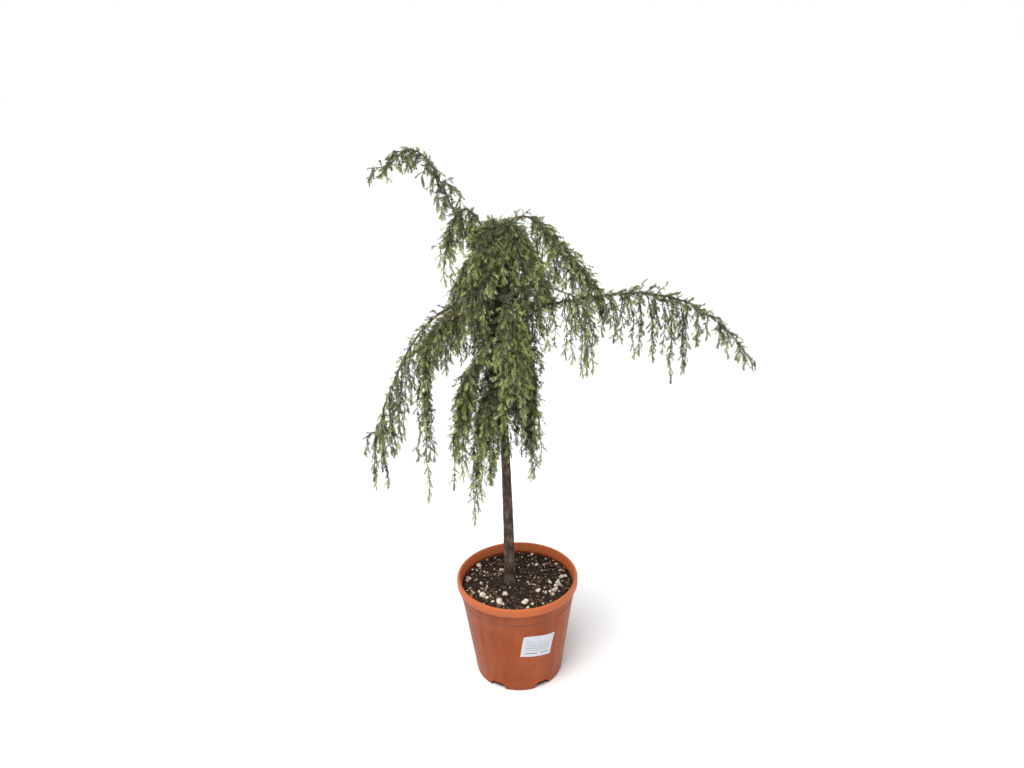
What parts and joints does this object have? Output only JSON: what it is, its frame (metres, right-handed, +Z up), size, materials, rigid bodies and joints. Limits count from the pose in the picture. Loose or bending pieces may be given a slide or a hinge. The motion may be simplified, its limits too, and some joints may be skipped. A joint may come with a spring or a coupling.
{
  "type": "potted weeping juniper",
  "caption": "Weeping common juniper on a slim single trunk, with long arching boughs of hanging needle sprays, in a round ribbed terracotta-coloured nursery pot.",
  "frame": {"origin": "centre of the flat underside of the pot", "axes": "+Z up along the pot's axis, +X towards the tip of the longest arm of the crown, -Y towards the front with the label"},
  "size_m": [0.7404, 0.3517, 1.086],
  "materials": {
    "pot": "satin",
    "soil": "matte",
    "label": "satin",
    "bark": "matte",
    "foliage": "matte"
  },
  "bodies": {
    "root": {"bough_back_left": "bark", "bough_back_right": "bark", "bough_front": "bark", "bough_leader": "bark", "bough_left_front": "bark", "bough_left_long": "bark", "bough_right_long": "bark", "bough_upper_right": "bark", "label": "label", "mass_back_left": "foliage", "mass_back_right": "foliage", "mass_crown_back": "foliage", "mass_crown_front_left": "foliage", "mass_crown_front_right": "foliage", "mass_curtain_back": "foliage", "mass_curtain_front": "foliage", "mass_curtain_left": "foliage", "mass_curtain_right": "foliage", "mass_front": "foliage", "mass_leader": "foliage", "mass_left_front": "foliage", "mass_left_inner": "foliage", "mass_left_long": "foliage", "mass_right_inner": "foliage", "mass_right_long": "foliage", "mass_shoulder": "foliage", "mass_upper_right": "foliage", "pot": "pot", "soil": "soil", "trunk": "bark"}
  },
  "joints": []
}
